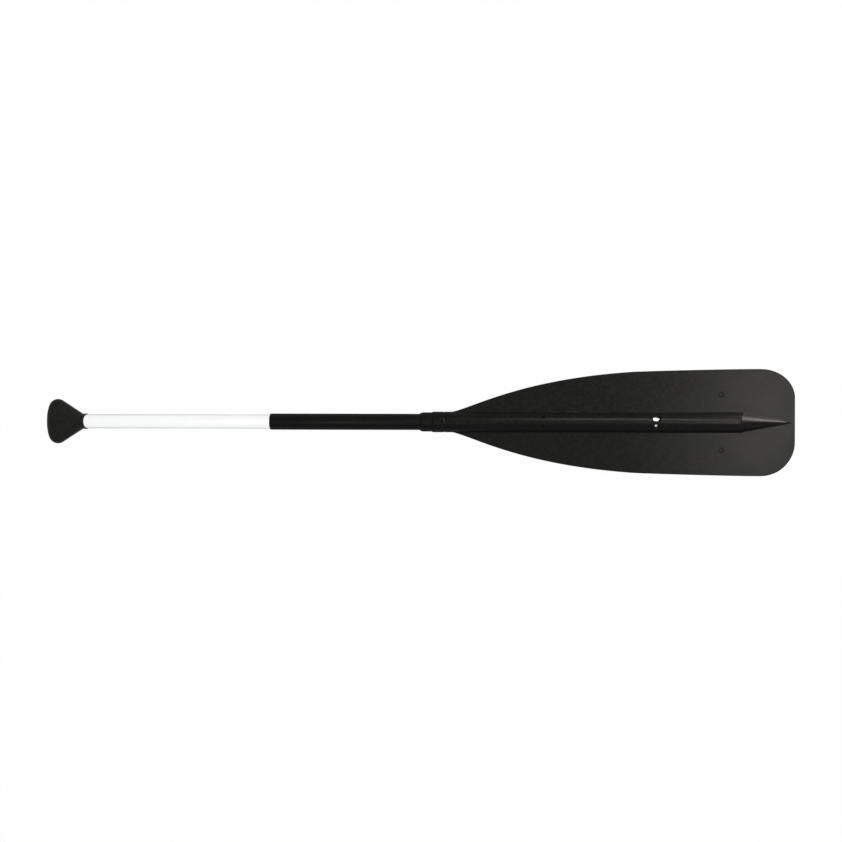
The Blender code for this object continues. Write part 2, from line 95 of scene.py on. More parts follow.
# %% [markdown]
# ## From a grid of points to a closed mesh
# Almost every piece here is one grid: its rows follow the piece's length and its columns run round
# it. A row whose points all coincide is a pole, which closes the end. Merging the points that
# coincide turns poles and seams into a watertight skin, and recalculated normals make it face
# outwards. The same function serves a ring shape, whose last row joins its first.

# %% The grid helpers
MERGE_DISTANCE = 0.000002
SHARP_DEGREES = 32


def full_turn(count):
    """Angles evenly spread round a circle."""
    return np.linspace(0, 2 * math.pi, count, endpoint=False)


def quarter_turn(count):
    """Angles evenly spread from 0 to a right angle."""
    return np.linspace(0, math.pi / 2, count)


def points(x, y, z):
    """A grid of points from three arrays, each of which is repeated to fill the grid."""
    return np.stack(np.broadcast_arrays(x, y, z), axis=-1)


def add_object(name, data):
    """A new object in the scene that holds a mesh, a lamp or a camera."""
    made = bpy.data.objects.new(name, data)
    bpy.context.scene.collection.objects.link(made)
    return made


def smooth(mesh):
    """Smooth shading, except over edges where the surface turns by more than SHARP_DEGREES."""
    mesh.shade_smooth()
    mesh.set_sharp_from_angle(angle=math.radians(SHARP_DEGREES))


def skin(name, grid, rows_close=False):
    """A closed mesh object from points of shape (rows, columns, 3), whose columns run round it.

    Corner numbers are laid out as a grid as well, and each quad joins a corner, its right neighbour
    and the two below them.
    """
    rows, columns = grid.shape[:2]
    corner = np.arange(rows * columns).reshape(rows, columns)
    below = np.roll(corner, -1, axis=0)
    if not rows_close:
        corner, below = corner[:-1], below[:-1]
    quads = np.stack([corner, np.roll(corner, -1, 1), np.roll(below, -1, 1), below], axis=-1)
    mesh = bpy.data.meshes.new(name)
    mesh.from_pydata(grid.reshape(-1, 3), [], quads.reshape(-1, 4).tolist())
    work = bmesh.new()
    work.from_mesh(mesh)
    bmesh.ops.remove_doubles(work, verts=work.verts, dist=MERGE_DISTANCE)
    bmesh.ops.recalc_face_normals(work, faces=work.faces)
    work.to_mesh(mesh)
    work.free()
    smooth(mesh)
    print(name, "has", sum(len(face.vertices) - 2 for face in mesh.polygons), "triangles")
    return add_object(name, mesh)


# %% [markdown]
# ## Shapes turned about the shaft
# A tube, a sleeve and a ring are profiles carried round the shaft's axis. A real edge is never a
# knife edge, so each corner of a profile gets a small round. We replace the corner by an arc of a few
# points that touches both of its sides, which catches the light as the real edge does.

# %% Turned pieces with rounded corners
ROUND_SIDES = 160
CORNER_STEPS = 5
SHARE_OF_SIDE = 0.45


def rounded(profile, radius):
    """Points of a closed profile with each corner replaced by an arc.

    The arc starts and ends at equal distances from the corner along both sides, at most
    SHARE_OF_SIDE of the shorter one, and its points are a quadratic blend of the corner and those
    two ends.
    """
    corners = np.array(profile, float)
    to_last = np.roll(corners, 1, axis=0) - corners
    to_next = np.roll(corners, -1, axis=0) - corners
    last_length = np.linalg.norm(to_last, axis=1)
    next_length = np.linalg.norm(to_next, axis=1)
    reach = np.minimum(radius, SHARE_OF_SIDE * np.minimum(last_length, next_length))
    first = corners + to_last * (reach / last_length)[:, None]
    last = corners + to_next * (reach / next_length)[:, None]
    first, corners, last = first[:, None], corners[:, None], last[:, None]
    t = np.linspace(0, 1, CORNER_STEPS)[None, :, None]
    arcs = (1 - t) ** 2 * first + 2 * t * (1 - t) * corners + t**2 * last
    return arcs.reshape(-1, 2)


def turned(name, profile, edge_radius):
    """A closed profile of (x, radius) points, its corners rounded, carried round the shaft's axis.

    A point at radius r and angle a stands at y = r cos a and z = r sin a from the axis.
    """
    x, r = rounded(profile, edge_radius).T[:, :, None]
    a = full_turn(ROUND_SIDES)
    return skin(name, points(x, r * np.cos(a), AXIS_Z + r * np.sin(a)), rows_close=True)


def wall(start, end, inside, outside):
    """The profile of a plain tube's wall: a rectangle from end to end and from bore to outside."""
    return [(start, inside), (start, outside), (end, outside), (end, inside)]


# %% [markdown]
# ## Cutting holes
# Holes, slots and marks are cut from the fine meshes with a Boolean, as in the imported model. A cutter
# is an oval prism for a hole or a slot, a flattened ball for a bowl, and a thin ring for a groove.
# Once the cuts are made they are applied, so that the finished piece is a plain mesh, and the cutters
# are deleted.

# %% Cutters and cuts
CUTTER_SIDES = 48
GROOVE_SIDES = 12


def oval_prism(x, y, first_z, last_z, length, width, flare=0.0):
    """An upright prism: an oval of points (x + a cos t, y + b sin t) at two heights, with poles.

    The flare is how much further out its wall stands on every side at the last height than at the
    first.
    """
    t = full_turn(CUTTER_SIDES)
    across = np.array([0, 1, 1, 0])[:, None]
    wider = flare * np.array([0, 0, 1, 1])[:, None]
    return skin("cutter", points(
        x + across * (length / 2 + wider) * np.cos(t),
        y + across * (width / 2 + wider) * np.sin(t),
        np.array([first_z, first_z, last_z, last_z])[:, None],
    ))


def bowl_cutter(x, y, z, length, width, depth):
    """A flattened ball: ovals whose size follows cos s while their height follows sin s."""
    t = full_turn(CUTTER_SIDES)
    s = np.linspace(-math.pi / 2, math.pi / 2, CUTTER_SIDES // 2)[:, None]
    across = np.cos(s)
    across[[0, -1]] = 0
    return skin("cutter", points(
        x + across * length / 2 * np.cos(t),
        y + across * width / 2 * np.sin(t),
        z + depth * np.sin(s),
    ))


def ring_cutter(x, y, z, ring_radius, groove_radius):
    """A torus: a small circle of points carried round a large one that lies flat."""
    around = full_turn(CUTTER_SIDES)[:, None]
    section = full_turn(GROOVE_SIDES)
    reach = ring_radius + groove_radius * np.cos(section)
    height = z + groove_radius * np.sin(section)
    grid = points(x + reach * np.cos(around), y + reach * np.sin(around), height)
    return skin("cutter", grid, rows_close=True)


def cut(piece, cutters):
    """Subtract each cutter from a piece and bake the result into the piece's mesh."""
    for cutter in cutters:
        step = piece.modifiers.new("cut", "BOOLEAN")
        step.operation = "DIFFERENCE"
        step.solver = "EXACT"
        step.object = cutter
    seen = piece.evaluated_get(bpy.context.evaluated_depsgraph_get())
    finished = bpy.data.meshes.new_from_object(seen)
    piece.modifiers.clear()
    piece.data = finished
    smooth(finished)
    for cutter in cutters:
        bpy.data.objects.remove(cutter, do_unlink=True)


# %% [markdown]
# ## The shaft tube
# The shaft is a length of drawn aluminium tube, 28.6 mm across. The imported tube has 48 flat sides,
# which show on a bright round surface, so a finer tube stands for it. It is a turned shape whose
# profile is the wall's own thin rectangle, with a hole for the rivet that holds the grip. The cutter
# for that hole starts at the floor and ends inside the bore, so it opens the lower wall only.

# %% Make the shaft tube
TUBE_WALL = 0.0014
TUBE_EDGE = 0.0003
RIVET_SHANK = 0.0048
RIVET_TO_MOUTH = 0.030

tube_inside = tube_radius - TUBE_WALL
inside_bore = AXIS_Z - tube_inside / 2
rivet_x = grip_mouth - RIVET_TO_MOUTH
rivet_hole = RIVET_SHANK + 2 * FIT_GAP


def rivet_cutter(width, top):
    """A round prism at the rivet's place, from the floor up to a given height."""
    return oval_prism(rivet_x, 0, 0, top, width, width)


tube = turned("drawn_tube", wall(tube_start, tube_end, tube_inside, tube_radius), TUBE_EDGE)
cut(tube, [rivet_cutter(rivet_hole, inside_bore)])

# %% [markdown]
# ## The hand sleeve
# The lower hand holds a long sleeve of soft vinyl, pushed over the tube. Its wall is under 2 mm, and
# it runs 45 mm into the blade's neck. It could be a second tube with square ends, but soft vinyl
# never keeps a square end, so we round its edges over nearly half of the wall.

# %% Make the hand sleeve
SLEEVE_EDGE = 0.0009

sleeve = turned("soft_sleeve", wall(sleeve_start, sleeve_end, tube_bore, sleeve_radius), SLEEVE_EDGE)

# %% [markdown]
# ## The throat ferrule
# A moulded ring closes the blade's neck round the sleeve. It has a chamfered mouth, a thin lip, a
# step up to the neck's own diameter, and a shallow chamfer where it meets the blade, which reads as a
# fine seam.

# %% Make the throat ferrule
LIP_END = 0.0249
LIP_WALL = 0.0028
MOUTH_WALL = 0.0010
MOUTH_LENGTH = 0.0055
SEAM_LENGTH = 0.0030
SEAM_DEPTH = 0.0009
FERRULE_EDGE = 0.0005

lip_radius = sleeve_bore + LIP_WALL
step_start = ferrule_start + LIP_END
ferrule_profile = [
    (ferrule_start, sleeve_bore),
    (ferrule_start, sleeve_bore + MOUTH_WALL),
    (ferrule_start + MOUTH_LENGTH, lip_radius),
    (step_start, lip_radius),
    (step_start + neck_radius - lip_radius, neck_radius),
    (ferrule_end - SEAM_LENGTH, neck_radius),
    (ferrule_end, neck_radius - SEAM_DEPTH),
    (ferrule_end, sleeve_bore),
]
ferrule = turned("neck_ferrule", ferrule_profile, FERRULE_EDGE)

# %% [markdown]
# ## The palm grip's outline
# The upper hand pushes on a fan-shaped grip. Seen from the front its end is a shallow arc that runs
# into two round corners, straight sides close in to a neck, and the neck flares to a round mouth for
# the tube. Two functions say how far the grip reaches to the side and how far up, for any distance
# from its end.

# %% The grip's width and thickness
NECK_LENGTH = 0.0078
GRIP_NECK_WALL = 0.0008
GRIP_MOUTH_WALL = 0.0016
FAN_WIDTH = 0.0906
FAN_WALL = 0.0024
FAN_CORNER = 0.0155
FAN_END_RADIUS = 0.105

grip_length = grip_mouth - grip_end
neck_from_end = grip_length - NECK_LENGTH
grip_neck = tube_bore + GRIP_NECK_WALL
mouth_outer = tube_bore + GRIP_MOUTH_WALL
fan_half_height = tube_bore + FAN_WALL
print("grip", round(grip_length, 4), "long and", round(2 * fan_half_height, 4), "thick")


def ease(x, start, end):
    """0 before start, 1 after end, and 3t^2 - 2t^3 between them."""
    t = np.clip((x - start) / (end - start), 0, 1)
    return t * t * (3 - 2 * t)


def half_chord(radius, offset):
    """Half a circle's width at an offset from its middle: the root of radius^2 less offset^2."""
    return np.sqrt(np.maximum(radius**2 - offset**2, 0))


def fan_half_width(from_end):
    """Half the grip's width: an end arc, a corner arc, a straight side and a flared neck.

    The corner circle touches the end arc from inside. The side starts where the corner circle's
    tangent points at the neck, and the neck widens with the square of the distance from its start.
    """
    corner_y = FAN_WIDTH / 2 - FAN_CORNER
    centres = FAN_END_RADIUS - FAN_CORNER
    corner_x = FAN_END_RADIUS - math.sqrt(centres**2 - corner_y**2)
    arc_end = FAN_END_RADIUS * (1 - math.sqrt(1 - (corner_y / centres) ** 2))
    run, drop = neck_from_end - corner_x, corner_y - grip_neck
    slope = math.atan2(drop, run) + math.asin(FAN_CORNER / math.hypot(run, drop))
    corner_end = corner_x + FAN_CORNER * math.sin(slope)
    arc = half_chord(FAN_END_RADIUS, FAN_END_RADIUS - from_end)
    corner = corner_y + half_chord(FAN_CORNER, from_end - corner_x)
    side = grip_neck + (neck_from_end - from_end) * math.tan(slope)
    past_neck = (from_end - neck_from_end) / NECK_LENGTH
    flare = grip_neck + (mouth_outer - grip_neck) * past_neck**2
    zones = [from_end < arc_end, from_end < corner_end, from_end < neck_from_end]
    return np.select(zones, [arc, corner, side], flare)


def fan_half_thickness(from_end):
    """Half the grip's thickness: a quarter circle at the end, then an ease down to the neck."""
    thinner = ease(from_end, fan_half_height, neck_from_end)
    body = fan_half_height + (grip_neck - fan_half_height) * thinner
    end = half_chord(fan_half_height, fan_half_height - from_end)
    zones = [from_end < fan_half_height, from_end < neck_from_end]
    return np.select(zones, [end, body], fan_half_width(from_end))


# %% [markdown]
# ## The palm grip's skin
# Each cross-section is a superellipse, which lets the shape pass from a flattened pillow at the palm
# to a true circle at the neck. The grid runs on round the mouth's rim and down the bore, so the grip
# is one closed skin. The rivet's head needs a flat seat, which a second and wider cutter makes.

# %% Make the palm grip
FAN_SQUARENESS = 2.4
GRIP_COLUMNS = 192
GRIP_ROWS = 120
GRIP_CROWDING = 1.6
RIM_ROUND = 0.0006
RIM_STEPS = 6
BORE_FROM_END = 0.0263
RIVET_SEAT = 0.0107
RIVET_SEAT_DEPTH = 0.0008


def grip_grid():
    """Rows along the grip, with points where |y/a| to the power p plus |z/b| to the power p is 1.

    The power falls evenly from the palm's value to 2, a circle, at the neck. Rows crowd towards the
    end, because a row's distance from it is its share of the rows to the power GRIP_CROWDING.
    """
    from_end = (grip_length - RIM_ROUND) * np.linspace(0, 1, GRIP_ROWS) ** GRIP_CROWDING
    power = 2 + (FAN_SQUARENESS - 2) * np.clip(1 - from_end / neck_from_end, 0, 1)
    turn = quarter_turn(RIM_STEPS)[1:]
    by_sine, by_cosine = RIM_ROUND * (1 - np.sin(turn)), RIM_ROUND * (1 - np.cos(turn))
    inner = np.concatenate([mouth_outer - by_cosine, tube_bore + by_sine, [tube_bore, tube_bore, 0]])
    half_width = np.concatenate([fan_half_width(from_end), inner])[:, None]
    half_height = np.concatenate([fan_half_thickness(from_end), inner])[:, None]
    power = np.concatenate([power, np.full(len(inner), 2.0)])[:, None]
    from_end = np.concatenate([
        from_end,
        grip_length - by_sine,
        grip_length - by_cosine,
        [grip_length / 2, BORE_FROM_END, BORE_FROM_END],
    ])
    angle = full_turn(GRIP_COLUMNS)
    c, s = np.cos(angle), np.sin(angle)
    return points(
        grip_end + from_end[:, None],
        half_width * np.sign(c) * np.abs(c) ** (2 / power),
        AXIS_Z + half_height * np.sign(s) * np.abs(s) ** (2 / power),
    )


grip = skin("fan_grip", grip_grid())
grip_bottom = AXIS_Z - float(fan_half_thickness(np.array(rivet_x - grip_end)))
seat = rivet_cutter(RIVET_SEAT, grip_bottom + RIVET_SEAT_DEPTH)
cut(grip, [rivet_cutter(rivet_hole, inside_bore), seat])

# %% [markdown]
# ## The blade's outline
# Seen from the front, each edge of the blade swells from the neck to a shoulder, runs nearly straight
# to its widest place and turns a round corner into the tip's straight edge. The two corners are not
# quite alike: one is a quarter of a circle, the other of an oval that reaches less far across. The
# swell and the run are two cubic Bezier curves, whose points we sample finely and read back as a
# width for any place along the blade. One small class keeps what belongs to an edge together.

# %% The blade's half width
BLADE_WIDTH = 0.2188
LEFT_CORNER = (0.069, 0.059)
RIGHT_CORNER = (0.070, 0.070)
SHOULDER_TO_TIP = 0.331
SHOULDER_INSET = 0.0062
SHOULDER_SLOPE = 0.068
OUTLINE_START_DEPTH = 0.004
OUTLINE_START_INSET = 0.0015
NECK_HANDLE = 0.102
SHOULDER_BACK_HANDLE = 0.653
SHOULDER_AHEAD_HANDLE = 0.051
WIDEST_HANDLE = 0.304
CURVE_STEPS = 400
TINY = 1e-9


def bezier(start, start_handle, end_handle, end):
    """Points of a cubic Bezier: its four points weighted by (1-t)^3, 3t(1-t)^2, 3t^2(1-t), t^3."""
    t = np.linspace(0, 1, CURVE_STEPS)[:, None]
    weights = [(1 - t) ** 3, 3 * t * (1 - t) ** 2, 3 * t**2 * (1 - t), t**3]
    corners = [start, start_handle, end_handle, end]
    return sum(weight * corner for weight, corner in zip(weights, corners))


def edge_curve(widest_x):
    """The blade's edge from the neck to its widest place, as two Beziers end to end."""
    start = np.array([blade_start + OUTLINE_START_DEPTH, neck_radius - OUTLINE_START_INSET])
    shoulder = np.array([blade_tip - SHOULDER_TO_TIP, BLADE_WIDTH / 2 - SHOULDER_INSET])
    widest = np.array([widest_x, BLADE_WIDTH / 2])
    swell, run = (shoulder - start)[0], (widest - shoulder)[0]
    level, slope = np.array([1, 0]), np.array([1, SHOULDER_SLOPE])
    leave = start + NECK_HANDLE * swell * level
    back = shoulder - SHOULDER_BACK_HANDLE * swell * slope
    ahead = shoulder + SHOULDER_AHEAD_HANDLE * run * slope
    arrive = widest - WIDEST_HANDLE * run * level
    first, second = bezier(start, leave, back, shoulder), bezier(shoulder, ahead, arrive, widest)
    return np.concatenate([first, second[1:]])


class Edge:
    """One edge of the blade, with the length and the width of its own corner at the tip."""

    def __init__(self, corner_length, corner_width):
        self.length = corner_length
        self.width = corner_width
        self.widest_x = blade_tip - corner_length
        self.corner_y = BLADE_WIDTH / 2 - corner_width
        self.x, self.y = edge_curve(self.widest_x).T
        self.slope = np.gradient(self.y, self.x)

    def half_width(self, x):
        """The edge's distance from the middle: read from the curve, then a quarter oval."""
        past = np.clip((x - self.widest_x) / self.length, 0, 1)
        corner = self.corner_y + self.width * np.sqrt(1 - past**2)
        return np.where(x < self.widest_x, np.interp(x, self.x, self.y), corner)

    def corner_distance(self, x, y):
        """Distance outside the corner's oval: its implicit value over its gradient's length."""
        u, v = x - self.widest_x, y - self.corner_y
        reach = np.hypot(u / self.length, v / self.width)
        gradient = np.hypot(u / self.length**2, v / self.width**2) + TINY
        return (reach - 1) * reach / gradient


left_edge = Edge(*LEFT_CORNER)
right_edge = Edge(*RIGHT_CORNER)
print("straight tip from", -round(right_edge.corner_y, 4), "to", round(left_edge.corner_y, 4))

# %% [markdown]
# ## The blade as a blend of two distances
# The blade is a flat plate with a round spine through it, and the two meet in a small fillet that is
# largest at the neck. A distance field says how far a point is outside a shape, and is negative
# inside. Taking the smaller of two distances joins two shapes, and a smooth minimum rounds the inner
# corner between them. The surface is where the blended distance is zero.

# %% Distances to the plate, to the spine and to both
PLATE_THICKNESS = 0.0036
EDGE_ROUND = 0.0013
SPINE_WALL = 0.0058
NECK_STRAIGHT = 0.014
SPINE_TAPER = 0.050
SPEAR_LENGTH = 0.101
SPEAR_TO_TIP = 0.006
SPEAR_SHOULDER_SHARE = 0.015
SPEAR_ROOT_SCALE = 0.95
SPEAR_POWER = 1.35
FILLET_AT_NECK = 0.003
FILLET_BEYOND = 0.0010
FILLET_LENGTH = 0.070
SMALLEST_FILLET = 0.000001

half_plate = PLATE_THICKNESS / 2
spine_radius = tube_bore + SPINE_WALL
spear_start = blade_tip - SPEAR_TO_TIP - SPEAR_LENGTH
spear_root = spine_radius * SPEAR_ROOT_SCALE
spear_buried = PLATE_THICKNESS / 4
print("spine radius", round(spine_radius, 4), "and spear from", round(spear_start, 4))


def plate_distance(edge, x, y, z):
    """Distance to the plate: its outline's and its height's distance, joined by a round edge."""
    lean = np.sqrt(1 + np.interp(x, edge.x, edge.slope) ** 2)
    side = (y - edge.half_width(x)) / lean
    end = np.where(y > edge.corner_y, edge.corner_distance(x, y), x - blade_tip)
    outside = np.where(x < edge.widest_x, side, end) + EDGE_ROUND
    above = z - half_plate + EDGE_ROUND
    inner = np.minimum(np.maximum(outside, above), 0)
    return inner + np.hypot(np.maximum(outside, 0), np.maximum(above, 0)) - EDGE_ROUND


def spine_size(x):
    """The spine's half size and the power of its section, 2 for round and lower for a ridge."""
    taper = np.clip((x - blade_start - NECK_STRAIGHT) / SPINE_TAPER, 0, 1)
    straight = neck_radius + (spine_radius - neck_radius) * taper
    share = np.clip((x - spear_start) / SPEAR_LENGTH, 0, 1)
    turn = ease(share, 0, SPEAR_SHOULDER_SHARE)
    root = spine_radius + (spear_root - spine_radius) * turn
    spear = spear_buried + (root - spear_buried) * (1 - share)
    return np.where(x < spear_start, straight, spear), 2 + (SPEAR_POWER - 2) * turn


def spine_distance(x, y, z):
    """Distance to the spine: (y^p + z^p)^(1/p) less its half size, which is exact where p is 2."""
    size, power = spine_size(x)
    return (np.abs(y) ** power + np.abs(z) ** power) ** (1 / power) - size


def blended(edge, x, y, z):
    """The smooth minimum: a mix of both by m, less k m (1 - m), with m running over a width k."""
    plate, spine = plate_distance(edge, x, y, z), spine_distance(x, y, z)
    fillet_start = blade_start + SPINE_TAPER
    shrink = ease(x, fillet_start, fillet_start + FILLET_LENGTH)
    fillet = FILLET_AT_NECK + (FILLET_BEYOND - FILLET_AT_NECK) * shrink
    room = edge.half_width(x) - spine_size(x)[0]
    k = np.clip(np.minimum(fillet, room), SMALLEST_FILLET, None)
    m = np.clip(0.5 + 0.5 * (plate - spine) / k, 0, 1)
    return plate + (spine - plate) * m - k * m * (1 - m)


# %% [markdown]
# ## Finding the surface
# For each place (x, y) on the blade we look for the height at which the blended distance is zero, by
# halving an interval until it is thinner than a hair. Even steps in y would leave the spine's steep
# sides with too few points. So each row first measures its own length with many points, then spreads
# its columns evenly over that length, and closer together at the plate's rounded edge and in the
# fillet.

# %% Heights and evenly spread columns
HALVINGS = 36
HEIGHT_LIMIT = 1.1 * neck_radius
COLUMNS = 74
MEASURING_STEPS = 500
FOOT_START = 0.006
FOOT_WIDTH = 0.016
EDGE_WIDTH = 0.004
EDGE_CROWDING = 14
EDGE_FADE = 0.0012
FILLET_CROWDING = 3
FILLET_FADE = 0.006


def surface_height(edge, x, y):
    """The height of the blade's face over its middle plane, by bisection up to HEIGHT_LIMIT."""
    low = np.zeros(np.broadcast(x, y).shape)
    high = np.full(low.shape, HEIGHT_LIMIT)
    for _ in range(HALVINGS):
        middle = (low + high) / 2
        inside = blended(edge, x, y, middle) < 0
        low = np.where(inside, middle, low)
        high = np.where(inside, high, middle)
    return np.where(blended(edge, x, y, 0 * low) < 0, low, 0)


def spread_columns(edge, x):
    """Columns of y from 0 to the edge for each row, evenly spaced along its weighted length.

    The length is measured over the whole width, again round the spine's foot, and again at the edge.
    A step's weight is 1 plus a part that fades with its distance from the edge and from the foot.
    """
    spine = spine_size(x)[0][:, None]
    width = np.maximum(edge.half_width(x)[:, None], spine)
    t = np.linspace(0, 1, MEASURING_STEPS)[None, :]
    foot = np.minimum(spine - FOOT_START + FOOT_WIDTH * t, width)
    y = np.concatenate([width * t, foot, width - EDGE_WIDTH * t**3], axis=1)
    y = np.sort(np.clip(y, 0, None), axis=1)
    z = surface_height(edge, x[:, None], y)
    step = np.hypot(np.diff(y, axis=1), np.diff(z, axis=1))
    middle = (y[:, 1:] + y[:, :-1]) / 2
    weight = 1 + EDGE_CROWDING * np.exp(-(width - middle) / EDGE_FADE)
    weight += FILLET_CROWDING * np.exp(-np.abs(middle - spine) / FILLET_FADE)
    length = np.cumsum(step * weight + TINY, axis=1)
    length = np.concatenate([np.zeros((len(x), 1)), length], axis=1)
    even = np.linspace(0, 1, COLUMNS)
    return np.array([np.interp(even * row[-1], row, place) for row, place in zip(length, y)])


# %% [markdown]
# ## Rows along the blade
# Rows are close together where the blade changes quickly: at the neck's edge, at the leaning shoulder
# where the spine ends in a ridged spear, round the tip's corners and over the tip's rounded edge. The
# ridged part leans back: its crest starts further from the tip than its foot does, which is done by
# sliding each point back along the blade by its height.

# %% Places of the rows
NECK_EDGE = 0.0005
NECK_RUN = 0.030
SWELL_RUN = (0.032, 0.200)
SPINE_RUN_START = 0.206
LEAN_RUN_UP = 0.040
LEAN_GAP = 0.004
SHOULDER_GAP = 0.001
SHOULDER_RUN = 0.0016
SPEAR_RUN_START = 0.0022
CORNER_ROWS = 28
TIP_ROWS = 8

lean_start = spear_start - LEAN_RUN_UP


def blade_rows():
    """Places of the rows: even stretches joined end to end, with a sine spread round the corners."""
    neck = blade_start + NECK_EDGE
    widest_x = right_edge.widest_x
    stretches = [  # each with its first place, its last place and its number of rows
        (neck, neck + NECK_RUN, 10),
        (blade_start + SWELL_RUN[0], blade_start + SWELL_RUN[1], 64),
        (blade_start + SPINE_RUN_START, lean_start - LEAN_GAP, 52),
        (lean_start, spear_start - SHOULDER_GAP, 14),
        (spear_start, spear_start + SHOULDER_RUN, 10),
        (spear_start + SPEAR_RUN_START, widest_x, 29),
    ]
    corner = (right_edge.length - EDGE_ROUND) * np.sin(quarter_turn(CORNER_ROWS)[1:-1])
    tip = EDGE_ROUND * (1 - np.sin(quarter_turn(TIP_ROWS)))
    even = [np.linspace(*stretch) for stretch in stretches]
    return np.concatenate([*even, widest_x + corner, blade_tip - tip])


# %% [markdown]
# ## The blade's closed skin
# The front is two half faces, one for each edge, because the two corners differ, and the back is its
# mirror image. A row that runs over the front and returns under the back is closed, so the whole
# blade is one grid. It starts at the end of the blind bore that holds the tube, comes out at the
# neck's edge and ends on the tip's own line.

# %% Make the blade
SPEAR_LEAN = 0.0135
LEAN_SETTLED = 0.002
BORE_PAST_TUBE = 0.0026
NECK_EDGE_STEPS = 5


def half_face(edge, x):
    """Points of the front face from the middle out to one edge, in rows along the blade.

    Near the spear each point slides back along the blade by its share of the spine's height. The
    last row is the tip's own line at half the plate's height, and its two outer points coincide,
    which leaves no sliver between the front and the back.
    """
    y = spread_columns(edge, x)
    z = surface_height(edge, x[:, None], y)
    y[-1, -2] = y[-1, -1]
    z[-1] = 0
    rise = np.clip((z - half_plate) / (spine_radius - half_plate), 0, 1)
    lean = SPEAR_LEAN * ease(x, lean_start, spear_start - LEAN_SETTLED)
    lean *= 1 - np.clip((x - spear_start) / SPEAR_LENGTH, 0, 1)
    return points(x[:, None] - lean[:, None] * rise, y, z)


def bore_rows(angle):
    """Rings of the blind bore, from its closed end to the neck's edge, at the given angles."""
    bore_end = tube_end + BORE_PAST_TUBE
    step = sleeve_end + FIT_GAP
    turn = quarter_turn(NECK_EDGE_STEPS)[:-1]
    place = [bore_end, bore_end, step, step, blade_start]
    radius = [0, tube_bore, tube_bore, sleeve_bore, sleeve_bore]
    place = np.array([*place, *blade_start + NECK_EDGE * (1 - np.cos(turn))])[:, None]
    radius = np.array([*radius, *neck_radius - NECK_EDGE * (1 - np.sin(turn))])[:, None]
    return points(place, radius * np.cos(angle), radius * np.sin(angle))


def blade_grid():
    """All rows of the blade: the bore's rings at the first row's angles, then front and back."""
    x = blade_rows()
    right = half_face(right_edge, x)[:, :0:-1] * [1, -1, 1]
    front = np.concatenate([right, half_face(left_edge, x)], axis=1)
    back = front[:, -2:0:-1] * [1, 1, -1]
    outside = np.concatenate([front, back], axis=1)
    angle = np.arctan2(outside[0, :, 2], outside[0, :, 1])
    return np.concatenate([bore_rows(angle), outside]) + [0, 0, AXIS_Z]


blade = skin("blade_moulding", blade_grid())

# %% [markdown]
# ## Marks of the mould
# Tapered pins hold the tube in the middle of the mould while the plastic flows round it, a large one
# on one side of the spine's crest and a small one on the other. Where they stood, the spine has
# openings in which the bare tube shines, wider outside than inside, and shallow bowls nearer the
# neck. Ejector pins leave a fine ring on the plate. Every mark is on both faces.

# %% Cut the mould's marks
LARGE_PIN = {"length": 0.0108, "width": 0.0064, "slot_y": 0.0076, "bowl_y": 0.0098}
SMALL_PIN = {"length": 0.0062, "width": 0.0036, "slot_y": -0.0076, "bowl_y": -0.0072}
PIN_FLARE_DEGREES = 18
CUTTER_REACH = 1.5
SLOT_TO_TIP = 0.2875
BOWL_TO_TIP = 0.5175
BOWL_SHARE = 0.8
BOWL_DEPTH = 0.0038
EJECTOR_TO_TIP = 0.1512
EJECTOR_OFFSET = 0.057
EJECTOR_RADIUS = 0.0046
GROOVE_RADIUS = 0.0009


def pin_marks(pin, face):
    """Cutters for one pin's marks on one face: an opening that flares outwards, and a bowl.

    The opening's floor lies just under the bore's wall at the opening's outer side, so it shows the
    tube all over. A bowl's depth follows the square root of its pin's length.
    """
    length, width, slot_y, bowl_y = pin["length"], pin["width"], pin["slot_y"], pin["bowl_y"]
    floor = math.sqrt(tube_bore**2 - (abs(slot_y) + width / 2) ** 2) - FIT_GAP
    reach = CUTTER_REACH * spine_radius
    flare = (reach - floor) * math.tan(math.radians(PIN_FLARE_DEGREES))
    ends = (AXIS_Z + face * floor, AXIS_Z + face * reach)
    surface = AXIS_Z + face * math.sqrt(spine_radius**2 - bowl_y**2)
    depth = BOWL_DEPTH * math.sqrt(length / LARGE_PIN["length"])
    slot_x, bowl_x = blade_tip - SLOT_TO_TIP, blade_tip - BOWL_TO_TIP
    return [
        oval_prism(slot_x, slot_y, *ends, length, width, flare),
        bowl_cutter(bowl_x, bowl_y, surface, BOWL_SHARE * length, width, depth),
    ]


def ejector_mark(side, face):
    """The cutter for one ejector pin's ring on one side of one face."""
    place = (blade_tip - EJECTOR_TO_TIP, side * EJECTOR_OFFSET, AXIS_Z + face * half_plate)
    return ring_cutter(*place, EJECTOR_RADIUS, GROOVE_RADIUS)


marks = []
for face in (-1, 1):
    marks += pin_marks(LARGE_PIN, face) + pin_marks(SMALL_PIN, face)
for side in (-1, 1):
    marks += [ejector_mark(side, face) for face in (-1, 1)]
cut(blade, marks)
print("blade marks cut:", len(marks))

# %% [markdown]
# ## Writing shader maths as Python
# A finish is a small program of nodes. Linking dozens of Math nodes by hand hides the formula, so we
# wrap a socket in a class whose operators add the nodes for us. Then `0.4 + 0.1 * grain` is the
# formula and builds the nodes. The reflected forms make a plain number work on the left side too.

# %% A socket that understands arithmetic


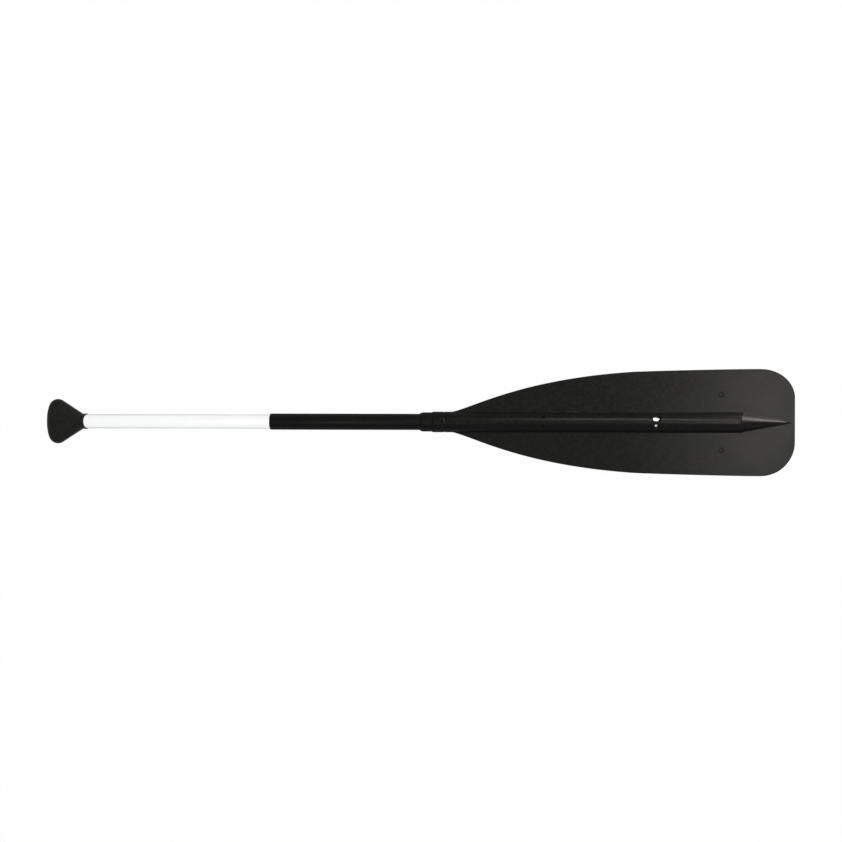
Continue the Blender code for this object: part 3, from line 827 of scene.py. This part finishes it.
class Value:
    """One output of a node; arithmetic on it adds Math nodes to its tree."""

    def __init__(self, tree, socket):
        self.tree = tree
        self.socket = socket

    def maths(self, operation, *others):
        """A Math node that works on this value and the others, in that order."""
        return self.tree.maths(operation, self, *others)

    def __add__(self, other):
        return self.maths("ADD", other)

    def __mul__(self, other):
        return self.maths("MULTIPLY", other)

    def __sub__(self, other):
        return self.maths("SUBTRACT", other)

    def __rsub__(self, other):
        return self.tree.maths("SUBTRACT", other, self)

    __radd__ = __add__
    __rmul__ = __mul__

    def between(self, low, high):
        """0 below low, 1 above high, and a smooth step between them."""
        settings = {"interpolation_type": "SMOOTHSTEP"}
        inputs = {"Value": self, "From Min": low, "From Max": high}
        return self.tree.node("ShaderNodeMapRange", settings, inputs)[0]


# %% [markdown]
# ## A tree of nodes and a finish
# Materials and the world both hold a tree of nodes. The one general method of `Tree` adds any node
# from its type, its settings and its inputs, and returns the outputs. A `Finish` is a tree for one of
# the scene's materials, and its small methods name the patterns that the plastics and the metal
# share. All patterns read Object coordinates, because every finished piece sits at the origin, so a
# millimetre in the pattern is a millimetre on the piece. Only the dulling of steep walls reads the
# surface's own normal instead.

# %% The tree and the finish
NORMAL_OUTPUT = 1
OBJECT_OUTPUT = 3
MIX_SHARE, MIX_FIRST, MIX_SECOND, MIX_RESULT = 0, 6, 7, 2


class Tree:
    """The node tree of a material or a world, whose nodes are added by expressions."""

    def __init__(self, owner):
        owner.use_nodes = True
        self.nodes = owner.node_tree.nodes
        self.links = owner.node_tree.links

    def node(self, kind, settings, inputs):
        """Add one node: its settings first, then its inputs by name or place; outputs come back."""
        made = self.nodes.new(kind)
        for setting, value in settings.items():
            setattr(made, setting, value)
        for key, value in inputs.items():
            self.feed(made.inputs[key], value)
        return [Value(self, socket) for socket in made.outputs]

    def maths(self, operation, *values):
        """Add one Math node for an operation on values and numbers, in their order."""
        return self.node("ShaderNodeMath", {"operation": operation}, dict(enumerate(values)))[0]

    def feed(self, socket, value):
        """Link a value to a socket, or set the socket to a plain number or colour."""
        if isinstance(value, Value):
            self.links.new(value.socket, socket)
        else:
            socket.default_value = value


class Finish(Tree):
    """A Principled material, whose sockets that stay the same all over are given by name."""

    def __init__(self, name, **plain):
        self.material = bpy.data.materials.new(name)
        super().__init__(self.material)
        self.shader = self.nodes["Principled BSDF"]
        for socket, value in plain.items():
            self.shader.inputs[socket.replace("_", " ")].default_value = value
        self.place = self.node("ShaderNodeTexCoord", {}, {})[OBJECT_OUTPUT]

    def stretched(self, x=1, y=1):
        """Object coordinates scaled along the paddle and across it, to draw a pattern out."""
        return self.node("ShaderNodeMapping", {}, {"Vector": self.place, "Scale": (x, y, 1)})[0]

    def noise(self, scale, detail, where=None):
        """Soft noise from 0 to 1, about 1/scale metres from bump to bump."""
        inputs = {"Vector": where or self.place, "Scale": scale, "Detail": detail}
        return self.node("ShaderNodeTexNoise", {}, inputs)[0]

    def cells(self, scale, feature):
        """Distance to the nearest cell's middle, for cells about 1/scale metres across."""
        inputs = {"Vector": self.place, "Scale": scale}
        return self.node("ShaderNodeTexVoronoi", {"feature": feature}, inputs)[0]

    def parts(self, vector):
        """The three numbers that a vector holds."""
        return self.node("ShaderNodeSeparateXYZ", {}, {"Vector": vector})

    def steep(self, upright, flat):
        """1 where the surface stands upright and 0 where it lies flat, by its upward normal."""
        normal = self.node("ShaderNodeTexCoord", {}, {})[NORMAL_OUTPUT]
        up = self.parts(normal)[2].maths("ABSOLUTE")
        return 1 - up.between(upright, flat)

    def mix(self, share, first, second):
        """A colour between two colours."""
        inputs = {MIX_SHARE: share, MIX_FIRST: (*first, 1), MIX_SECOND: (*second, 1)}
        return self.node("ShaderNodeMix", {"data_type": "RGBA"}, inputs)[MIX_RESULT]

    def finish(self, colour, roughness, height, depth):
        """Link what varies over the surface: colour, roughness, and a bump of a depth in metres."""
        self.feed(self.shader.inputs["Base Color"], colour)
        self.feed(self.shader.inputs["Roughness"], roughness)
        inputs = {"Strength": 1.0, "Distance": depth, "Height": height}
        bump = self.node("ShaderNodeBump", {}, inputs)
        self.feed(self.shader.inputs["Normal"], bump[0])
        return self.material


# %% [markdown]
# ## Black moulded plastic
# The blade and its ferrule are moulded in black polypropylene. A mould's surface is eroded to a fine
# satin grain with a soft mottle, the melt leaves long faint streaks along the blade, and the colour
# drifts a little. The grip's mould has a coarser stipple, which the palm can hold. A low specular
# level keeps the plastic deep black under a white sky, and the roughness is what spreads the lamps'
# sheen. Steep walls mirror the white surroundings at a grazing angle, which would draw a bright rim
# round a black piece, so the blade's roughness grows there.

# %% The blade's and the grip's plastic
STEEP = (0.25, 0.75)
STEEP_DULLING = 0.6
SPOTS = (0.35, 0.65)
DRIFT = (0.3, 0.7)
PARTING_LINE = 0.15 * MILLIMETRE
BLADE_COLOURS = ((0.0010, 0.0010, 0.0010), (0.0052, 0.0051, 0.0049))
GRIP_COLOURS = ((0.0075, 0.0075, 0.0073), (0.0155, 0.0153, 0.0149))


def parting_line(finish):
    """1 where the mould's two halves met, in the piece's middle plane, and 0 away from it."""
    away = (finish.parts(finish.place)[2] - AXIS_Z).maths("ABSOLUTE")
    return 1 - away.between(PARTING_LINE, 2 * PARTING_LINE)


def blade_plastic():
    """Grain, mottle and long streaks in the bump, patches in the sheen, spots in the colour."""
    made = Finish("blade_plastic", Specular_IOR_Level=0.0655)
    grain = made.noise(scale=1400, detail=3)
    mottle = made.noise(scale=200, detail=2)
    streaks = made.noise(scale=160, detail=3, where=made.stretched(x=0.06))
    patches = made.noise(scale=14, detail=4)
    spots = mottle.between(*SPOTS)
    colour = made.mix(0.25 * patches + 0.75 * spots, *BLADE_COLOURS)
    roughness = 0.225 + 0.08 * patches + 0.06 * grain + 0.02 * spots
    roughness += STEEP_DULLING * made.steep(*STEEP)
    height = 0.5 * grain + 1.4 * mottle + 0.3 * streaks + 1.5 * parting_line(made)
    return made.finish(colour, roughness, height, depth=0.03 * MILLIMETRE)


def grip_plastic():
    """Stipple and grain in the bump, patches in the sheen, and spots in the colour."""
    made = Finish("grip_plastic", Specular_IOR_Level=0.0735)
    stipple = made.cells(scale=900, feature="SMOOTH_F1")
    grain = made.noise(scale=2200, detail=2)
    patches = made.noise(scale=30, detail=3)
    spots = made.noise(scale=200, detail=2).between(*SPOTS)
    colour = made.mix(0.3 * patches + 0.7 * spots, *GRIP_COLOURS)
    roughness = 0.36 + 0.10 * patches + 0.08 * grain
    height = 0.8 * stipple + 0.3 * grain + 1.2 * parting_line(made)
    return made.finish(colour, roughness, height, depth=0.09 * MILLIMETRE)


# %% [markdown]
# ## Soft vinyl
# The sleeve is dipped or extruded vinyl: smooth, slightly waxy, with faint drawn lines along its
# length and smudges where it has been handled.

# %% The sleeve's vinyl
VINYL_COLOURS = ((0.0024, 0.0024, 0.0024), (0.0034, 0.0034, 0.0033))


def sleeve_vinyl():
    """Drawn lines along the sleeve, soft smudges in the sheen, and duller steep sides."""
    made = Finish("sleeve_vinyl", Specular_IOR_Level=0.0655)
    drawn = made.noise(scale=420, detail=3, where=made.stretched(x=0.02))
    smudges = made.noise(scale=26, detail=4)
    grain = made.noise(scale=1800, detail=2)
    colour = made.mix(smudges.between(*DRIFT), *VINYL_COLOURS)
    roughness = 0.22 + 0.10 * smudges + 0.05 * grain + STEEP_DULLING * made.steep(*STEEP)
    height = 0.6 * drawn + 0.25 * grain
    return made.finish(colour, roughness, height, depth=0.04 * MILLIMETRE)


# %% [markdown]
# ## Aluminium
# The tube is drawn through a die and anodised clear. Drawing leaves fine lines along it, which we get
# from noise stretched more than a hundred times along the shaft, in the bump and in the roughness.
# The part that the blade holds is blasted dull, so that the plastic grips it. The rivet is the same
# metal, a little darker, with light scratches in place of the lines.

# %% The tube's and the rivet's aluminium
BLAST_FADE = 10 * MILLIMETRE
TUBE_TINT = (0.45, 0.47, 0.48, 1.0)
TUBE_COLOURS = ((0.92, 0.925, 0.93), (0.945, 0.948, 0.95))
RIVET_COLOURS = ((0.78, 0.79, 0.80), (0.88, 0.885, 0.89))


def tube_aluminium():
    """Satin metal with drawn lines, a faint cloudiness, and a dull end inside the blade."""
    made = Finish("tube_aluminium", Metallic=1.0, Specular_Tint=TUBE_TINT)
    drawn = made.noise(scale=900, detail=4, where=made.stretched(x=0.008))
    cloud = made.noise(scale=20, detail=3)
    blasted = made.parts(made.place)[0].between(blade_start, blade_start + BLAST_FADE)
    colour = made.mix(cloud.between(*DRIFT), *TUBE_COLOURS)
    roughness = 0.16 + 0.08 * drawn + 0.04 * cloud + 0.40 * blasted
    return made.finish(colour, roughness, drawn, depth=0.05 * MILLIMETRE)


def rivet_aluminium():
    """Plain metal, dulled and slightly scratched by the setting tool."""
    made = Finish("rivet_aluminium", Metallic=1.0)
    scratches = made.noise(scale=1200, detail=3, where=made.stretched(y=0.2))
    dull = made.noise(scale=300, detail=2)
    colour = made.mix(dull.between(*DRIFT), *RIVET_COLOURS)
    return made.finish(colour, 0.28 + 0.15 * scratches, scratches, depth=0.03 * MILLIMETRE)


# %% [markdown]
# ## What is inside the tube
# Two foam plugs keep the paddle afloat and a cap closes the tube. None of them shows, but a reader
# who takes the paddle apart finds them finished: foam has fine closed cells, and the cap is plain
# grey plastic.

# %% Foam and cap
CELL_EDGES = (0.1, 0.7)
FOAM_COLOURS = ((0.82, 0.82, 0.79), (0.70, 0.70, 0.67))
CAP_COLOURS = ((0.22, 0.22, 0.23), (0.28, 0.28, 0.29))


def closed_cell_foam():
    """Rounded cells about a millimetre across, from the distance to the nearest cell's middle."""
    made = Finish("white_foam", Specular_IOR_Level=0.2)
    cells = made.cells(scale=900, feature="F1")
    colour = made.mix(cells.between(*CELL_EDGES), *FOAM_COLOURS)
    return made.finish(colour, 0.75 + 0.15 * cells, 1 - cells, depth=0.3 * MILLIMETRE)


def cap_plastic():
    """Grey plastic with a fine grain and slight drift."""
    made = Finish("cap_plastic", Specular_IOR_Level=0.3)
    grain = made.noise(scale=1500, detail=3)
    drift = made.noise(scale=60, detail=2)
    colour = made.mix(drift.between(*DRIFT), *CAP_COLOURS)
    return made.finish(colour, 0.42 + 0.12 * grain, grain, depth=0.04 * MILLIMETRE)


# %% [markdown]
# ## Dress the paddle
# Each new mesh stands for its imported node, rides on the paddle's one body and gets its finish.
# The rivet and the pieces inside the tube keep their imported meshes and only change their material.

# %% Give every piece its finish and its body
plastic = blade_plastic()
dressed = [
    (blade, "paddle_blade", "blade_plastic", plastic),
    (ferrule, "throat_ferrule", "blade_plastic", plastic),
    (grip, "palm_grip", "grip_plastic", grip_plastic()),
    (sleeve, "hand_sleeve", "sleeve_vinyl", sleeve_vinyl()),
    (tube, "shaft_tube", "tube_aluminium", tube_aluminium()),
]
for piece, node, slot, material in dressed:
    piece.data.materials.clear()
    piece.data.materials.append(material)
    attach(piece, "root")
    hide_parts(node)

foam = closed_cell_foam()
kept = {
    "grip_rivet": rivet_aluminium(),
    "shaft_end_cap": cap_plastic(),
    "upper_foam_plug": foam,
    "lower_foam_plug": foam,
}
for node, material in kept.items():
    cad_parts[node].material_slots[0].material = material
print("dressed", len(dressed), "pieces and kept", len(kept))

# %% [markdown]
# ## Floor and surroundings
# The photograph shows the paddle on plain white. The floor is pale and takes the paddle's soft
# shadow, and for the camera and for reflections most of its light is an even white, so that the
# background is white without more light on the paddle. Further out the even white takes over, and the
# floor runs into a world that is just as white, with no line between them.

# %% Floor and world
FLOOR_SIZE = 12.0
FLOOR_COLOUR = (0.70, 0.70, 0.70, 1)
FLOOR_ROUGHNESS = 0.9
WHITE_SHARE = 0.98
FADE_START = 1.2
FADE_END = 2.6
SKY_STRENGTH = 0.08


def seen_directly(tree):
    """1 for rays from the camera, for reflections and for light through glass; 0 for soft light."""
    path = {value.socket.name: value for value in tree.node("ShaderNodeLightPath", {}, {})}
    seen = path["Is Camera Ray"] + path["Is Glossy Ray"] + path["Is Transmission Ray"]
    return seen.maths("MINIMUM", 1)


def make_floor():
    """A square plate under the paddle, whose material mixes a lit matt surface with even white."""
    half = FLOOR_SIZE / 2
    corners = [(-half, -half, 0), (half, -half, 0), (half, half, 0), (-half, half, 0)]
    mesh = bpy.data.meshes.new("floor")
    mesh.from_pydata(corners, [], [(0, 1, 2, 3)])
    floor = add_object("floor", mesh)
    pale = Finish("pale_floor", Base_Color=FLOOR_COLOUR, Roughness=FLOOR_ROUGHNESS,
                  Specular_IOR_Level=0.0)
    distance = pale.node("ShaderNodeVectorMath", {"operation": "LENGTH"}, {0: pale.place})[1]
    even = WHITE_SHARE + (1 - WHITE_SHARE) * distance.between(FADE_START, FADE_END)
    white = pale.node("ShaderNodeEmission", {}, {})[0]
    matt = Value(pale, pale.shader.outputs[0])
    layers = {0: even * seen_directly(pale), 1: matt, 2: white}
    mixed = pale.node("ShaderNodeMixShader", {}, layers)[0]
    pale.feed(pale.nodes["Material Output"].inputs["Surface"], mixed)
    mesh.materials.append(pale.material)


def make_world():
    """White where it is seen or reflected, and a soft even sky where it lights."""
    world = bpy.data.worlds.new("studio")
    tree = Tree(world)
    strength = SKY_STRENGTH + (1 - SKY_STRENGTH) * seen_directly(tree)
    tree.feed(tree.nodes["Background"].inputs["Color"], (1, 1, 1, 1))
    tree.feed(tree.nodes["Background"].inputs["Strength"], strength)
    bpy.context.scene.world = world


make_floor()
make_world()
print("floor", FLOOR_SIZE, "m across, sky at", SKY_STRENGTH)

# %% [markdown]
# ## Light
# Five soft lamps light the paddle. The first is long and stands high beyond the tip, where the camera
# sees it mirrored in the blade, and gives the sheen that grows towards the tip. The second is long
# too, stands beyond the blade's upper edge and draws the bright line along the spine. A small one
# stands low, where only the spear's upper facet mirrors it. A wide soft box hangs overhead and lights
# the crests, and a last small lamp over the shaft keeps the grip and the sleeve readable.

# %% Lamps
LAMP_COLOUR = (1.0, 0.98, 0.93)
LAMPS = [  # name, place, target, width, height and power
    ("tip_lamp", (2.15, 0.20, 2.62), (0.5, 0.65, 0.0), 1.5, 0.3, 44),
    ("edge_lamp", (1.36, 1.28, 1.98), (1.0, 0.0, 0.0), 1.6, 0.5, 41),
    ("low_lamp", (1.31, 0.68, 0.18), (0.7, 0.0, 0.02), 0.3, 0.3, 7.6),
    ("top_lamp", (0.2, 0.0, 2.5), (0.2, 0.001, 0.0), 2.4, 2.4, 15),
    ("shaft_lamp", (-0.45, -0.50, 2.25), (-0.3, 0.0, 0.0), 0.3, 0.3, 4),
]


def add_lamp(name, place, target, width, height, power):
    """An area lamp that faces a point of the paddle: so wide sideways, so high upwards."""
    light = bpy.data.lights.new(name, "AREA")
    light.shape = "RECTANGLE"
    light.size = width
    light.size_y = height
    light.energy = power
    light.color = LAMP_COLOUR
    lamp = add_object(name, light)
    lamp.location = place
    lamp.visible_camera = False
    x, y, z = np.array(target) - np.array(place)
    lamp.rotation_euler = (math.atan2(math.hypot(x, y), -z), 0, math.atan2(y, x) - math.pi / 2)
    print(name, "at", place)


for lamp in LAMPS:
    add_lamp(*lamp)

# %% [markdown]
# ## Camera
# The photograph looks straight down on the middle of the paddle. Its perspective shows in two plain
# round rims, the grip's mouth and the sleeve's end, which both look curved: their arcs give the
# camera's height. The paddle lies a hair off level and off the middle in the picture, so the camera
# is turned and moved by as much.

# %% The camera
IMAGE_WIDTH = 842
SENSOR_WIDTH = 36.0
PIXEL_AT_SHAFT = 0.0020413
CAMERA_HEIGHT = 1.312
TILT_DEGREES = 0.12
SHAFT_BELOW_MIDDLE = 0.9
PADDLE_RIGHT_OF_MIDDLE = 0.45

lens = bpy.data.cameras.new("camera")
lens.sensor_width = SENSOR_WIDTH
lens.lens = SENSOR_WIDTH * CAMERA_HEIGHT / (IMAGE_WIDTH * PIXEL_AT_SHAFT)
camera = add_object("camera", lens)
camera.location = (
    -PADDLE_RIGHT_OF_MIDDLE * PIXEL_AT_SHAFT,
    SHAFT_BELOW_MIDDLE * PIXEL_AT_SHAFT,
    AXIS_Z + CAMERA_HEIGHT,
)
camera.rotation_euler = (0, 0, math.radians(TILT_DEGREES))
bpy.context.scene.camera = camera
bpy.context.scene.view_settings.view_transform = "Standard"
print("lens", round(lens.lens, 2), "mm")

# %% [markdown]
# ## Finish
# The dressed paddle has to keep the imported model's size. The last call brings every object's place
# up to date.

# %% Finish
bpy.context.view_layer.update()
